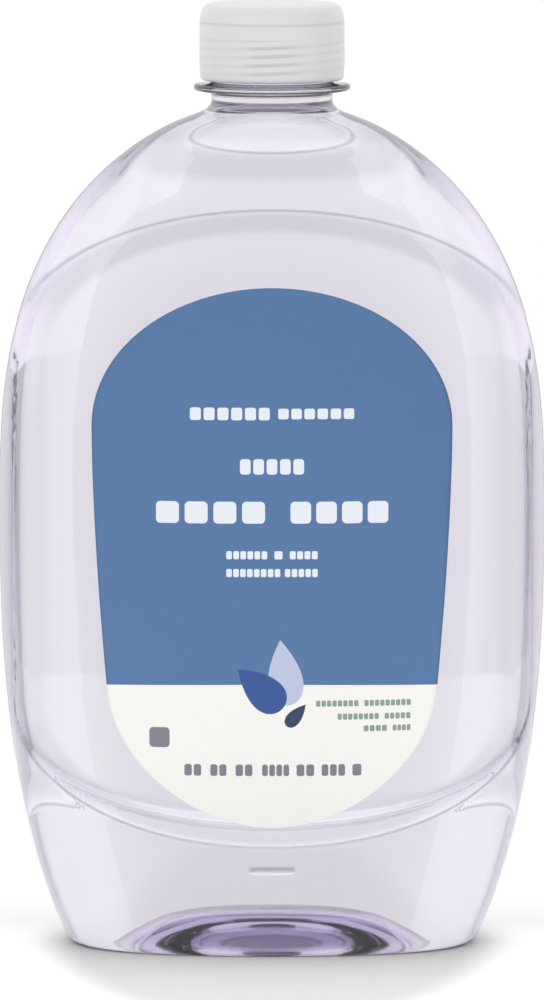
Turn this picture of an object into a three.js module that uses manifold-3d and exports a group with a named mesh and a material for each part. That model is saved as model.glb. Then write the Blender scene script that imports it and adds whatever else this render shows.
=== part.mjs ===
// A refill bottle of hand soap: a clear oval blown bottle full of soap, its screw cap and its two labels.
// Millimetres, +Z up. The bottle stands on z = 0, its neck is on the Z axis and its front faces -Y.
import * as THREE from "three";
import { mergeVertices } from "three/addons/utils/BufferGeometryUtils.js";
import Module from "manifold-3d";

const wasm = await Module();
wasm.setup();

// Body of the bottle, from the foot through its widest height to where the shoulder meets the neck.
const FOOT_TOP = 3;
const WIDEST_AT = 108;
const SHOULDER_TOP = 207;
const HALF_WIDTH = 67.7;
const HALF_DEPTH = 42.1;
const FOOT_HALF_WIDTH = 51.8;
const FOOT_HALF_DEPTH = 33;
const SHOULDER_RADIUS = 17.8;
const SQUARENESS = 2.3; // power of the oval section: 2 is an ellipse
const ROUND_ABOVE = 165; // the section turns from oval to round from here to the top of the shoulder

// Foot and push-up, measured across the width.
const FOOT_INNER = 37.8;
const FOOT_OUTER = 47.2;
const PUSH_UP_HEIGHT = 11.5;
const PUSH_UP_TOP = 20;

// Label panels, pressed in at the front and the back.
const PANEL_DEPTH = 1.1;
const PANEL_HALF_WIDTH = 64.4;
const PANEL_BOTTOM = 28;
const PANEL_LOW = 62; // its sides are upright from here
const PANEL_HIGH = 148; // to here
const PANEL_TOP = 185;
const PANEL_SLOPE = 4.5;

const BODY_WALL = 0.7;
const NECK_WALL = 2.1;
const GAP = 0.3;
const SOAP_LEVEL = 222;

// Neck finish with its support ring and thread.
const NECK_RADIUS = 15;
const NECK_TOP = 229.4;
const RING_RADIUS = 19.4;
const RING_BOTTOM = 212.3;
const RING_THICKNESS = 1.9;
const THREAD_PITCH = 25.4 / 6;
const THREAD_TURNS = 2;
const THREAD_HEIGHT = 1.1;
const THREAD_START = 218.6;
const THREAD_ROOT_WIDTH = 2.2;
const THREAD_CREST_WIDTH = 1.1;

// Screw cap and the sealing disc inside it.
const CAP_RADIUS = 18;
const CAP_BOTTOM = 215;
const CAP_TOP = 234;
const CAP_TOP_WALL = 2.3;
const CAP_BORE_RADIUS = 16.45;
const CAP_THREAD_DROP = 1.76; // the cap's thread runs this far below the neck's
const LINER_RADIUS = 16;

// Labels. The front one has an arched top and a rounded bottom.
const LABEL_THICKNESS = 0.3;
const LABEL = { halfWidth: 44.8, top: 166.5, spring: 132, shoulder: 122, corner: 68, bottom: 32.8 };
const LABEL_CORNER_HALF_WIDTH = 41.1;
const BACK_LABEL = { halfWidth: 31, top: 138, bottom: 54, radius: 8 };

const BODY_SEGMENTS = 48;
const NECK_SEGMENTS = 48;
const THREAD_SEGMENTS = 36; // in each turn
const SIDE_STEPS = 10; // below and above the widest height
const CURVE_STEPS = 4;

const { smoothstep } = THREE.MathUtils;

// Solid modelling.

function solidOf(geometry) {
  const bare = geometry.clone();
  bare.deleteAttribute("normal");
  bare.deleteAttribute("uv");
  const merged = mergeVertices(bare);
  return new wasm.Manifold(
    new wasm.Mesh({
      numProp: 3,
      vertProperties: merged.attributes.position.array,
      triVerts: new Uint32Array(merged.index.array),
    }),
  );
}

function geometryOf(solid) {
  const { vertProperties, triVerts } = solid.getMesh();
  const geometry = new THREE.BufferGeometry();
  geometry.setAttribute("position", new THREE.BufferAttribute(vertProperties, 3));
  geometry.setIndex(new THREE.BufferAttribute(triVerts, 1));
  geometry.computeVertexNormals();
  return geometry;
}

// Moves every vertex of a geometry to move(x, y, z).
function reshaped(geometry, move) {
  const position = geometry.getAttribute("position");
  for (let i = 0; i < position.count; i++) {
    position.setXYZ(i, ...move(position.getX(i), position.getY(i), position.getZ(i)));
  }
  return geometry;
}

// A profile of (radius, height) points, turned about the Z axis.
function turned(points, segments) {
  return new THREE.LatheGeometry(points, segments).rotateX(Math.PI / 2);
}

// Form of the body.

// Runs from widest, at t = 0, to end, at t = 1, along an arc that power and bend shape.
function swell(widest, end, t, power, bend) {
  return widest * (1 - (1 - (end / widest) ** power) * t ** bend) ** (1 / power);
}

function halfWidthAt(z) {
  if (z < WIDEST_AT) {
    const t = (WIDEST_AT - z) / (WIDEST_AT - FOOT_TOP);
    return swell(HALF_WIDTH, FOOT_HALF_WIDTH, Math.min(t, 1), 2.5, 2.42);
  }
  const t = (z - WIDEST_AT) / (SHOULDER_TOP - WIDEST_AT);
  return swell(HALF_WIDTH, SHOULDER_RADIUS, Math.min(t, 1), 1.83, 2.79);
}

function halfDepthAt(z) {
  if (z < WIDEST_AT) {
    const t = (WIDEST_AT - z) / (WIDEST_AT - FOOT_TOP);
    return swell(HALF_DEPTH, FOOT_HALF_DEPTH, Math.min(t, 1), 2.5, 2.6);
  }
  const t = (z - WIDEST_AT) / (SHOULDER_TOP - WIDEST_AT);
  return swell(HALF_DEPTH, SHOULDER_RADIUS, Math.min(t, 1), 2, 3.2);
}

// Squeezes a point of a turned bottle into the oval section at its height.
function toOval(x, y, z) {
  const angle = Math.atan2(y, x);
  const c = Math.cos(angle);
  const s = Math.sin(angle);
  const power = SQUARENESS - (SQUARENESS - 2) * smoothstep(z, ROUND_ABOVE, SHOULDER_TOP);
  const reach = Math.hypot(x, y) / (Math.abs(c) ** power + Math.abs(s) ** power) ** (1 / power);
  return [reach * c, (reach * s * halfDepthAt(z)) / halfWidthAt(z), z];
}

// How far the panel is pressed in, from 0 at its border to 1 inside it.
function panelPress(x, z) {
  const power = 2.05;
  const end = z > PANEL_HIGH ? PANEL_TOP - PANEL_HIGH : PANEL_LOW - PANEL_BOTTOM;
  const along = Math.max(z - PANEL_HIGH, PANEL_LOW - z, 0) / end;
  const across = Math.abs(x) / PANEL_HALF_WIDTH;
  const g = (across ** power + along ** power) ** (1 / power) + 1e-9;
  const slope = Math.hypot(
    (across / g) ** (power - 1) / PANEL_HALF_WIDTH,
    (along / g) ** (power - 1) / end,
  );
  return smoothstep((1 - g) / slope, 0, PANEL_SLOPE);
}

// Half of the bottle's section, from the middle of the push-up round the foot and up to the neck's top.
function bodyProfile(neckTop) {
  const base = new THREE.Path();
  base.moveTo(0, PUSH_UP_HEIGHT);
  base.lineTo(PUSH_UP_TOP * 0.5, PUSH_UP_HEIGHT - 0.4);
  base.lineTo(PUSH_UP_TOP, PUSH_UP_HEIGHT - 1.6);
  base.bezierCurveTo(27, 8.4, 33, 4.5, FOOT_INNER - 1, 0.4);
  base.lineTo(FOOT_INNER, 0);
  base.lineTo(FOOT_OUTER, 0);
  base.quadraticCurveTo(FOOT_HALF_WIDTH - 1.3, 0, FOOT_HALF_WIDTH, FOOT_TOP);
  const side = [];
  for (let i = 1; i < SIDE_STEPS; i++) {
    side.push(THREE.MathUtils.lerp(FOOT_TOP, WIDEST_AT, i / SIDE_STEPS));
  }
  for (let i = 0; i <= SIDE_STEPS; i++) {
    side.push(THREE.MathUtils.lerp(WIDEST_AT, SHOULDER_TOP, 1 - (1 - i / SIDE_STEPS) ** 1.5));
  }
  return [
    ...base.getPoints(CURVE_STEPS),
    ...side.map((z) => new THREE.Vector2(halfWidthAt(z), z)),
    new THREE.Vector2(NECK_RADIUS + 0.6, SHOULDER_TOP + 1.1),
    new THREE.Vector2(NECK_RADIUS, SHOULDER_TOP + 2.2),
    new THREE.Vector2(NECK_RADIUS, neckTop),
    new THREE.Vector2(0, neckTop),
  ];
}

function wallAt(z) {
  return BODY_WALL + (NECK_WALL - BODY_WALL) * smoothstep(z, SHOULDER_TOP - 8, SHOULDER_TOP + 2);
}

// The bottle's outer surface as a solid, moved in by inset(z) square to the surface.
function bottleForm(inset, neckTop = NECK_TOP) {
  const turnedBody = turned(bodyProfile(neckTop), BODY_SEGMENTS);
  turnedBody.deleteAttribute("normal");
  turnedBody.deleteAttribute("uv");
  const form = mergeVertices(reshaped(turnedBody, toOval));
  form.computeVertexNormals();
  const normal = form.getAttribute("normal");
  let i = -1;
  return solidOf(
    reshaped(form, (x, y, z) => {
      i += 1;
      const by = inset(z) + PANEL_DEPTH * panelPress(x, z);
      return [x - normal.getX(i) * by, y - normal.getY(i) * by, z - normal.getZ(i) * by];
    }),
  );
}

// A bar bent into a helix: one screw-thread ridge that fades out at both ends. base is its radius at its foot
// and crest at its edge.
function threadRidge(base, crest, startHeight) {
  const steps = THREAD_TURNS * THREAD_SEGMENTS;
  return reshaped(new THREE.BoxGeometry(1, 1, 1, steps, 1, 1), (x, y, z) => {
    const along = x + 0.5;
    const angle = along * THREAD_TURNS * 2 * Math.PI;
    const fade = smoothstep(Math.min(along, 1 - along) * THREAD_TURNS, 0, 0.12);
    const atCrest = y < 0 === crest > base;
    const radius = atCrest ? THREE.MathUtils.lerp(base, crest, 0.15 + 0.85 * fade) : base;
    const width = atCrest ? THREAD_CREST_WIDTH : THREAD_ROOT_WIDTH;
    const height = startHeight + along * THREAD_TURNS * THREAD_PITCH + z * width;
    return [radius * Math.cos(angle), radius * Math.sin(angle), height];
  });
}

// Pieces.

function supportRing() {
  const edge = RING_THICKNESS / 2;
  return turned(
    [
      new THREE.Vector2(0, RING_BOTTOM),
      new THREE.Vector2(RING_RADIUS - 0.4, RING_BOTTOM),
      new THREE.Vector2(RING_RADIUS, RING_BOTTOM + edge),
      new THREE.Vector2(RING_RADIUS - 0.4, RING_BOTTOM + RING_THICKNESS),
      new THREE.Vector2(0, RING_BOTTOM + RING_THICKNESS),
    ],
    NECK_SEGMENTS,
  );
}

function bottle() {
  const embed = 0.4;
  const ridge = threadRidge(NECK_RADIUS - embed, NECK_RADIUS + THREAD_HEIGHT, THREAD_START);
  const outside = bottleForm(() => 0)
    .add(solidOf(supportRing()))
    .add(solidOf(ridge));
  return outside.subtract(bottleForm(wallAt, NECK_TOP + 5));
}

function soap() {
  const inside = bottleForm((z) => wallAt(z) + GAP);
  const height = NECK_TOP - SOAP_LEVEL;
  const headspace = new THREE.BoxGeometry(4 * HALF_WIDTH, 4 * HALF_WIDTH, 2 * height);
  headspace.translate(0, 0, SOAP_LEVEL + height);
  return inside.subtract(solidOf(headspace));
}

function capProfile() {
  const inside = CAP_TOP - CAP_TOP_WALL;
  const path = new THREE.Path();
  path.moveTo(0, inside);
  path.lineTo(CAP_BORE_RADIUS, inside);
  path.lineTo(CAP_BORE_RADIUS, CAP_BOTTOM + 0.2);
  path.lineTo(CAP_BORE_RADIUS + 0.2, CAP_BOTTOM);
  path.quadraticCurveTo(CAP_RADIUS - 0.25, CAP_BOTTOM, CAP_RADIUS - 0.15, CAP_BOTTOM + 1.5);
  path.lineTo(CAP_RADIUS, CAP_BOTTOM + 4);
  path.lineTo(CAP_RADIUS, CAP_TOP - 5.5);
  path.bezierCurveTo(
    CAP_RADIUS - 0.15,
    CAP_TOP - 2,
    CAP_RADIUS - 0.7,
    CAP_TOP,
    CAP_RADIUS - 3.5,
    CAP_TOP,
  );
  path.lineTo(0, CAP_TOP);
  return path.getPoints(CURVE_STEPS);
}

function cap() {
  const embed = 0.4;
  const crest = CAP_BORE_RADIUS - THREAD_HEIGHT;
  const ridge = threadRidge(CAP_BORE_RADIUS + embed, crest, THREAD_START - CAP_THREAD_DROP);
  return solidOf(turned(capProfile(), NECK_SEGMENTS)).add(solidOf(ridge));
}

function capLiner() {
  const thickness = CAP_TOP - CAP_TOP_WALL - NECK_TOP - 2 * GAP;
  const disc = new THREE.CylinderGeometry(LINER_RADIUS, LINER_RADIUS, thickness, NECK_SEGMENTS);
  disc.rotateX(Math.PI / 2).translate(0, 0, NECK_TOP + GAP + thickness / 2);
  return solidOf(disc);
}

function frontLabelOutline() {
  const { halfWidth, top, spring, shoulder, corner, bottom } = LABEL;
  const bulge = 0.5523; // handle of a quarter ellipse
  const lowBulge = 0.5;
  const arch = top - spring;
  const bowl = corner - bottom;
  const cornerHalfWidth = LABEL_CORNER_HALF_WIDTH;
  const shape = new THREE.Shape();
  shape.moveTo(0, bottom);
  shape.bezierCurveTo(
    cornerHalfWidth * lowBulge,
    bottom,
    cornerHalfWidth,
    corner - bowl * lowBulge,
    cornerHalfWidth,
    corner,
  );
  shape.quadraticCurveTo(halfWidth, shoulder - 12, halfWidth, shoulder);
  shape.lineTo(halfWidth, spring);
  shape.bezierCurveTo(halfWidth, spring + arch * bulge, halfWidth * bulge, top, 0, top);
  const right = shape.getPoints(2 * CURVE_STEPS);
  const left = right.slice(1, -1).map((p) => new THREE.Vector2(-p.x, p.y));
  return new THREE.Shape([...right, ...left.reverse()]);
}

function backLabelOutline() {
  const { halfWidth, top, bottom, radius } = BACK_LABEL;
  const shape = new THREE.Shape();
  shape.absarc(halfWidth - radius, bottom + radius, radius, -Math.PI / 2, 0);
  shape.absarc(halfWidth - radius, top - radius, radius, 0, Math.PI / 2);
  shape.absarc(radius - halfWidth, top - radius, radius, Math.PI / 2, Math.PI);
  shape.absarc(radius - halfWidth, bottom + radius, radius, Math.PI, 1.5 * Math.PI);
  return new THREE.Shape(shape.getPoints(CURVE_STEPS));
}

// A film label that follows the panel behind it, cut to an outline drawn in x and z. side is -1 at the front
// and 1 at the back.
function label(outline, side) {
  const film = bottleForm(() => -GAP - LABEL_THICKNESS).subtract(bottleForm(() => -GAP));
  const cutter = new THREE.ExtrudeGeometry(outline, { depth: 2 * HALF_DEPTH, bevelEnabled: false });
  cutter.rotateX(Math.PI / 2);
  if (side > 0) {
    cutter.translate(0, 2 * HALF_DEPTH, 0);
  }
  return film.intersect(solidOf(cutter));
}

// Assembly.

const FINISH = {
  clearPlastic: { color: 0xe7e4ed, roughness: 0.08, metalness: 0, transparent: true, opacity: 0.35 },
  soap: { color: 0xdcd8e8, roughness: 0.05, metalness: 0, transparent: true, opacity: 0.6 },
  capPlastic: { color: 0xdfdfe1, roughness: 0.4, metalness: 0 },
  linerFoam: { color: 0xf2f2f2, roughness: 0.8, metalness: 0 },
  frontFilm: { color: 0x5e80b0, roughness: 0.45, metalness: 0 },
  backFilm: { color: 0xf8f6f1, roughness: 0.45, metalness: 0 },
};

const refillPack = new THREE.Group();

function place(name, solid, finish) {
  const mesh = new THREE.Mesh(geometryOf(solid), new THREE.MeshStandardMaterial(finish));
  mesh.name = name;
  refillPack.add(mesh);
}

place("bottle", bottle(), FINISH.clearPlastic);
place("soap", soap(), FINISH.soap);
place("cap", cap(), FINISH.capPlastic);
place("cap_liner", capLiner(), FINISH.linerFoam);
place("front_label", label(frontLabelOutline(), -1), FINISH.frontFilm);
place("back_label", label(backLabelOutline(), 1), FINISH.backFilm);

export default refillPack;
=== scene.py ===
"""Builds the looks of a clear refill bottle of hand soap, with its screw cap and its labels."""

import math

import bpy
import numpy as np
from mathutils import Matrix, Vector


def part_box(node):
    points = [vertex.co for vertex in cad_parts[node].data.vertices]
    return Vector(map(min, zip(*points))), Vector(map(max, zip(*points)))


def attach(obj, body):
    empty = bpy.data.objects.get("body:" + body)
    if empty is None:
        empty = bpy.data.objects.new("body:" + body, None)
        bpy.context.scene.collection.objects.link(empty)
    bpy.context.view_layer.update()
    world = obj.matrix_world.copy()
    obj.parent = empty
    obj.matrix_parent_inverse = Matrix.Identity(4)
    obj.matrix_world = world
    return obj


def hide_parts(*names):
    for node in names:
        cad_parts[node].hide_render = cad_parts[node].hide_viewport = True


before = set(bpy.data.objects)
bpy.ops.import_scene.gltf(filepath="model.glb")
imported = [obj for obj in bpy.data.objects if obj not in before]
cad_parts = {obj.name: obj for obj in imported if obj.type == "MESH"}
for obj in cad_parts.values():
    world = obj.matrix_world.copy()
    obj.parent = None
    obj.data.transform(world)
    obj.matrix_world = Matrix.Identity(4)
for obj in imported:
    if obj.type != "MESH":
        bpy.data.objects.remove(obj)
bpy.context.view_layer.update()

bl_info = {
    "name": "Soap Refill Bottle",
    "version": (1, 0, 0),
    "blender": (4, 5, 0),
    "location": "View3D > Sidebar > Refill",
    "description": "Builds a clear refill bottle of liquid soap with its screw cap and labels",
    "category": "Object",
}

MM = 0.001

BOTTLE_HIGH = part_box("bottle")[1]
SOAP_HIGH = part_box("soap")[1]
CAP_LOW, CAP_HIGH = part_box("cap")
LINER_LOW, LINER_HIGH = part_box("cap_liner")
FRONT_LOW, FRONT_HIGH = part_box("front_label")
BACK_LOW, BACK_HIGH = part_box("back_label")

# Body of the bottle, in metres, from the foot through its widest height to where the shoulder meets the neck.
FOOT_TOP = 3 * MM
WIDEST_AT = 108 * MM
SHOULDER_TOP = 207 * MM
PANEL_DEPTH = 1.1 * MM
SEAM_HEIGHT = 0.12 * MM  # of the mould's parting line at the two narrow sides
SEAM_WIDTH = 0.35 * MM
SEAM_COLUMNS = (0.00264, 0.00528, 0.00924)  # extra columns on each side of it, in radians
HALF_WIDTH = BOTTLE_HIGH.x - SEAM_HEIGHT
HALF_DEPTH = BOTTLE_HIGH.y + PANEL_DEPTH
FOOT_HALF_WIDTH = 51.8 * MM
FOOT_HALF_DEPTH = 33 * MM
SHOULDER_RADIUS = 17.8 * MM
SQUARENESS = 2.3
ROUND_ABOVE = 165 * MM

# Foot and push-up, measured across the width.
FOOT_INNER = 37.8 * MM
FOOT_OUTER = 47.2 * MM
PUSH_UP_HEIGHT = 11.5 * MM
PUSH_UP_TOP = 20 * MM

# Label panels.
PANEL_HALF_WIDTH = 64.4 * MM
PANEL_BOTTOM = 28 * MM
PANEL_LOW = 62 * MM
PANEL_HIGH = 148 * MM
PANEL_TOP = 185 * MM
PANEL_POWER = 2.05
# Painted shade: this band is painted into the clear plastic's colour, inside the painted line on the border.
BAND_MIDDLE = 0.08  # of the shaded band inside a panel's border, as a share of the panel
BAND_CORE = 0.03
BAND_RIM = 0.085

# Neck finish.
NECK_RADIUS = 15 * MM
NECK_WALL = 2.1 * MM
NECK_TOP = BOTTLE_HIGH.z
RING_RADIUS = 19.4 * MM
RING_BOTTOM = 212.3 * MM
RING_THICKNESS = 1.9 * MM
THREAD_PITCH = 25.4 / 6 * MM
THREAD_TURNS = 2
THREAD_HEIGHT = 1.1 * MM
THREAD_START = 218.6 * MM
THREAD_ROOT_WIDTH = 2.2 * MM
THREAD_CREST_WIDTH = 1.1 * MM
THREAD_LEAD_IN = 0.12  # part of a turn in which the thread rises at each end
THREADED_FROM = 216.2 * MM
THREADED_ROWS = 46

# Cap.
CAP_RADIUS = CAP_HIGH.x
CAP_BORE_RADIUS = 16.45 * MM
CAP_TOP_WALL = 2.3 * MM
CAP_THREAD_DROP = 1.76 * MM
CAP_ROWS = 90

# Labels.
LABEL_LIFT = 0.06 * MM  # of the film off the bottle
LABEL_MARGIN = 0.02 * MM
LABEL_ROWS = 150
LABEL_COLUMNS = 81

SOAP_OVERLAP = 0.25 * MM  # of the soap into the wall, so that no air shows between them
MENISCUS = 1.0 * MM

# Floor, with a painted pool of light and a painted shadow round the bottle.
FLOOR_RADIUS = 400 * MM
POOL_HALF_WIDTH = 58 * MM  # of the oval round the bottle outside which the pool of light starts
POOL_HALF_DEPTH = 155 * MM

AROUND = 244  # columns of the bottle's mesh, apart from those beside its parting line
DISC_AROUND = 128
INNER_FINENESS = 0.55  # of the mesh inside the bottle, against the one outside


# ---------------------------------------------------------------- form

def smoothstep(x, low, high):
    """0 below low, 1 above high, and a smooth rise between them."""
    t = np.clip((np.asarray(x, float) - low) / (high - low), 0, 1)
    return t * t * (3 - 2 * t)


def swell(widest, end, t, power, bend):
    """Runs from widest, at t = 0, to end, at t = 1, along an arc that power and bend shape."""
    return widest * (1 - (1 - (end / widest) ** power) * np.clip(t, 0, 1) ** bend) ** (1 / power)


def half_width_at(z):
    """Half of the body's width at height z."""
    z = np.asarray(z, float)
    low = swell(HALF_WIDTH, FOOT_HALF_WIDTH, (WIDEST_AT - z) / (WIDEST_AT - FOOT_TOP), 2.5, 2.42)
    high = swell(HALF_WIDTH, SHOULDER_RADIUS, (z - WIDEST_AT) / (SHOULDER_TOP - WIDEST_AT), 1.83, 2.79)
    return np.where(z < WIDEST_AT, low, high)


def half_depth_at(z):
    """Half of the body's depth at height z, without the pressed-in panels."""
    z = np.asarray(z, float)
    low = swell(HALF_DEPTH, FOOT_HALF_DEPTH, (WIDEST_AT - z) / (WIDEST_AT - FOOT_TOP), 2.5, 2.6)
    high = swell(HALF_DEPTH, SHOULDER_RADIUS, (z - WIDEST_AT) / (SHOULDER_TOP - WIDEST_AT), 2, 3.2)
    return np.where(z < WIDEST_AT, low, high)


def squareness_at(z):
    """Power of the oval section at height z: 2 is an ellipse."""
    return SQUARENESS - (SQUARENESS - 2) * smoothstep(z, ROUND_ABOVE, SHOULDER_TOP)


def even_angles(around):
    """Even angles round the upright axis."""
    return np.arange(around) * 2 * math.pi / around


def column_angles(around):
    """Even angles round the bottle, with a few close ones on each side of its parting line."""
    close = np.array([*SEAM_COLUMNS, *(-a for a in SEAM_COLUMNS)])
    return np.sort(np.concatenate([even_angles(around), close % (2 * math.pi), close + math.pi]))


def seam(angle, heights):
    """How far the mould's parting line stands out, at the two narrow sides of the body."""
    chord = 2 * np.minimum(np.abs(np.sin(angle / 2)), np.abs(np.cos(angle / 2)))
    away = chord[None, :] * half_width_at(heights)[:, None]
    starts = smoothstep(heights, FOOT_TOP, FOOT_TOP + 2 * MM)
    ends = smoothstep(heights, SHOULDER_TOP - 2 * MM, SHOULDER_TOP)
    return SEAM_HEIGHT * np.exp(-((away / SEAM_WIDTH) ** 2)) * (starts * (1 - ends))[:, None]


def oval_rings(radii, heights, angle):
    """Rings of points: a turned profile squeezed into the body's oval section at each height."""
    c, s = np.cos(angle)[None, :], np.sin(angle)[None, :]
    power = squareness_at(heights)[:, None]
    reach = np.asarray(radii)[:, None] / (np.abs(c) ** power + np.abs(s) ** power) ** (1 / power)
    ratio = (half_depth_at(heights) / half_width_at(heights))[:, None]
    z = np.broadcast_to(np.asarray(heights)[:, None], reach.shape)
    return np.stack([reach * c, reach * s * ratio, z], axis=-1)


def square_to(rings):
    """Unit normals of a grid of rings, away from the solid."""
    along = np.gradient(rings, axis=0)
    across = np.roll(rings, -1, axis=1) - np.roll(rings, 1, axis=1)
    normal = np.cross(across, along)
    length = np.linalg.norm(normal, axis=-1, keepdims=True)
    return normal / np.maximum(length, 1e-12)


def panel_press(x, z, settings):
    """How far the label panel is pressed in: it drops off at a crisp border and levels out inside it."""
    end = np.where(z > PANEL_HIGH, PANEL_TOP - PANEL_HIGH, PANEL_LOW - PANEL_BOTTOM)
    along = np.maximum(np.maximum(z - PANEL_HIGH, PANEL_LOW - z), 0) / end
    across = np.abs(x) / PANEL_HALF_WIDTH
    g = (across**PANEL_POWER + along**PANEL_POWER) ** (1 / PANEL_POWER) + 1e-9
    slope = np.hypot(
        (across / g) ** (PANEL_POWER - 1) / PANEL_HALF_WIDTH,
        (along / g) ** (PANEL_POWER - 1) / end,
    )
    width = settings.panel_slope + (settings.panel_end_slope - settings.panel_slope) * (along / g) ** 2
    inside = np.clip((1 - g) / np.maximum(slope, 1e-9) / width, 0, 1)
    return settings.panel_depth * (1 - (1 - inside) ** 2.2)


def bezier(points, steps, first=True):
    """Points along a Bezier curve of any order, with or without its first one."""
    t = np.linspace(0, 1, steps + 1)[0 if first else 1:, None]
    n = len(points) - 1
    return sum(math.comb(n, i) * (1 - t) ** (n - i) * t**i * np.array(p, float) for i, p in enumerate(points))


def ridge_height(angle, z, start):
    """Height of the screw thread's ridge over its root at an angle and a height."""
    turn = np.mod(angle, 2 * math.pi) / (2 * math.pi)
    k = np.round((z - start) / THREAD_PITCH - turn)
    along = turn + k
    off = np.abs(z - start - along * THREAD_PITCH)
    ridge = smoothstep(-off, -THREAD_ROOT_WIDTH / 2, -THREAD_CREST_WIDTH / 2)
    return THREAD_HEIGHT * ridge * smoothstep(np.minimum(along, THREAD_TURNS - along), 0, THREAD_LEAD_IN)


def turned_rings(radius, heights, angle):
    """Round rings from a grid of radii, with a row for each height and a column for each angle."""
    z = np.broadcast_to(heights[:, None], radius.shape)
    return np.stack([radius * np.cos(angle), radius * np.sin(angle), z], axis=-1)


def round_rings(profile, angle):
    """Round rings from a profile of (radius, height) points."""
    profile = np.asarray(profile, float)
    return turned_rings(profile[:, :1] + 0 * angle, profile[:, 1], angle)


def threaded_rings(radius, heights, angle, start, outward):
    """Round rings with the screw thread on them: outward is 1 outside the neck and -1 inside the cap."""
    ridge = ridge_height(angle[None, :], heights[:, None], start)
    return turned_rings(radius + outward * ridge, heights, angle)


# ---------------------------------------------------------------- meshes

def mesh_object(name, points, faces, material):
    """A smooth-shaded mesh object from points and faces."""
    mesh = bpy.data.meshes.new(name)
    mesh.from_pydata(points.tolist(), [], faces)
    mesh.shade_smooth()
    mesh.materials.append(material)
    mesh.validate()
    mesh.update()
    ob = bpy.data.objects.new(name, mesh)
    bpy.context.scene.collection.objects.link(ob)
    return ob


def loft(name, rings, material):
    """A closed solid through a stack of rings. The first and last ring close to a point."""
    rows, around = rings.shape[:2]
    points = np.concatenate([rings.reshape(-1, 3), [rings[0].mean(0)], [rings[-1].mean(0)]])
    first, last = rows * around, rows * around + 1
    last_row = (rows - 1) * around
    steps = [(j, (j + 1) % around) for j in range(around)]
    faces = []
    for j, nxt in steps:
        faces.append((first, nxt, j))
        faces.append((last, last_row + j, last_row + nxt))
    for a in range(0, last_row, around):
        b = a + around
        faces += [(a + j, a + nxt, b + nxt, b + j) for j, nxt in steps]
    return mesh_object(name, points, faces, material)


# ---------------------------------------------------------------- profiles

def body_profile(fine):
    """(radius, height) stations from the middle of the push-up to the bottom of the neck."""
    foot = [
        bezier([(0.4 * MM, PUSH_UP_HEIGHT), (12 * MM, PUSH_UP_HEIGHT),
                (PUSH_UP_TOP, PUSH_UP_HEIGHT - 0.6 * MM), (25 * MM, 8.6 * MM)], int(12 * fine)),
        bezier([(25 * MM, 8.6 * MM), (31 * MM, 5.9 * MM), (35 * MM, 1.4 * MM), (FOOT_INNER + 1.5 * MM, 0)],
               int(12 * fine), False),
        bezier([(FOOT_INNER + 1.5 * MM, 0), (FOOT_OUTER, 0)], 3, False),
        bezier([(FOOT_OUTER, 0), (FOOT_HALF_WIDTH - 1.3 * MM, 0), (FOOT_HALF_WIDTH, FOOT_TOP)],
               int(8 * fine), False),
    ]
    stops = [(FOOT_TOP, 8), (20 * MM, 12), (26 * MM, 44), (64 * MM, 18), (146 * MM, 48), (187 * MM, 16)]
    ends = [z for z, _ in stops[1:]] + [SHOULDER_TOP]
    side = np.concatenate([
        np.linspace(start, end, int(steps * fine) + 1)[1:] for (start, steps), end in zip(stops, ends)])
    fillet = bezier([(SHOULDER_RADIUS, SHOULDER_TOP), (NECK_RADIUS + 0.25 * MM, SHOULDER_TOP + 1.2 * MM),
                     (NECK_RADIUS, SHOULDER_TOP + 2.6 * MM)], int(8 * fine), False)
    return np.concatenate([*foot, np.stack([half_width_at(side), side], axis=1), fillet])


def wall_at(z, wall):
    """Thickness of the bottle's wall at height z: thin in the blown body and thick in the neck."""
    return wall + (NECK_WALL - wall) * smoothstep(z, SHOULDER_TOP - 8 * MM, SHOULDER_TOP + 2 * MM)


def notch(x, z, settings):
    """A shallow locating notch pressed in under the label panel."""
    across = np.clip((np.abs(x) - settings.notch_half_width) / (0.8 * MM), 0, 1)
    up = np.abs(z - settings.notch_height) / (1.1 * MM)
    return settings.notch_depth * np.clip(1 - across**2 - up**2, 0, 1)


def body_rings(profile, angle, inset, settings):
    """Rings of the body with its label panels pressed in, moved in by inset square to the surface."""
    rings = oval_rings(profile[:, 0], profile[:, 1], angle)
    normal = square_to(rings)
    x, y, z = np.moveaxis(rings, -1, 0)
    press = panel_press(x, z, settings) + np.where(y < 0, notch(x, z, settings), 0)
    return rings - normal * (press + inset)[..., None]


def neck_profile_below_thread():
    """The neck's outside from the shoulder's fillet over the support ring to where the thread starts."""
    edge = RING_THICKNESS / 2
    middle = RING_BOTTOM + edge
    out = RING_RADIUS
    return np.concatenate([
        bezier([(NECK_RADIUS, RING_BOTTOM - 1.2 * MM), (NECK_RADIUS, RING_BOTTOM - 0.1 * MM),
                (NECK_RADIUS + 1.2 * MM, RING_BOTTOM + 0.05 * MM)], 6),
        bezier([(out - 0.9 * MM, RING_BOTTOM + 0.12 * MM), (out, RING_BOTTOM + 0.16 * MM), (out, middle)], 6),
        bezier([(out, middle), (out, middle + edge - 0.16 * MM), (out - 0.9 * MM, middle + edge - 0.12 * MM)],
               6, False),
        bezier([(NECK_RADIUS + 0.9 * MM, middle + edge - 0.05 * MM), (NECK_RADIUS, middle + edge),
                (NECK_RADIUS, middle + edge + 0.8 * MM)], 6),
    ])


# ---------------------------------------------------------------- materials

def linear(colour, shade=1.0):
    """An sRGB colour, darkened by shade, as the opaque linear one that shaders take."""
    c = np.asarray(colour, float)
    return [*(float(v) * shade for v in np.where(c <= 0.04045, c / 12.92, ((c + 0.055) / 1.055) ** 2.4)), 1]


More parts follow.
